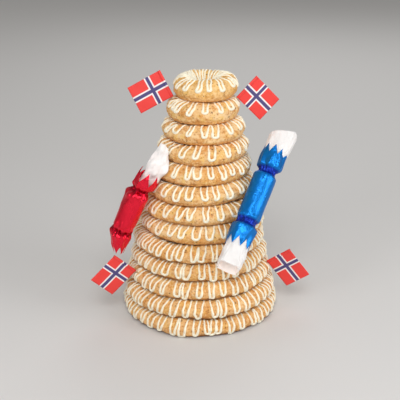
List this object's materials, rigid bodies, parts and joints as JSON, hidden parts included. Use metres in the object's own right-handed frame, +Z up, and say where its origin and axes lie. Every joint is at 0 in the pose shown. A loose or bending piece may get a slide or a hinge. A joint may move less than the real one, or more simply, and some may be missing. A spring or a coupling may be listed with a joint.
{
  "type": "kransekake ring cake",
  "caption": "Tall hollow tower of baked almond rings that widen downwards, piped with zigzag icing and dressed with paper flags on picks and party crackers.",
  "frame": {"origin": "bottom centre of the whole outline, on the surface the cake stands on", "axes": "+Z up along the tower, -Y towards the front, +X to the right seen from the front"},
  "size_m": [0.2706, 0.2109, 0.305],
  "materials": {
    "dough": "matte baked almond dough, golden tan with browner hollows and small dark specks",
    "icing": "glossy cream-white piped sugar icing",
    "flag_paper": "smooth printed paper, red with a white-edged blue cross",
    "pick_wood": "plain birch",
    "blue_foil": "crinkled metallic blue foil paper",
    "red_foil": "crinkled metallic red foil paper",
    "white_paper": "soft white crepe paper"
  },
  "bodies": {
    "root": {"ring_01": "dough", "ring_02": "dough", "ring_03": "dough", "ring_04": "dough", "ring_05": "dough", "ring_06": "dough", "ring_07": "dough", "ring_08": "dough", "ring_09": "dough", "ring_10": "dough", "ring_11": "dough", "ring_12": "dough", "ring_13": "dough", "pick_upper_left": "pick_wood", "pick_upper_right": "pick_wood", "pick_lower_left": "pick_wood", "pick_lower_right": "pick_wood", "flag_upper_left": "flag_paper", "flag_upper_right": "flag_paper", "flag_lower_left": "flag_paper", "flag_lower_right": "flag_paper", "cracker_blue_foil": "blue_foil", "cracker_blue_paper_low": "white_paper", "cracker_blue_paper_high": "white_paper", "cracker_red_foil": "red_foil", "cracker_red_paper_high": "white_paper"}
  },
  "joints": []
}
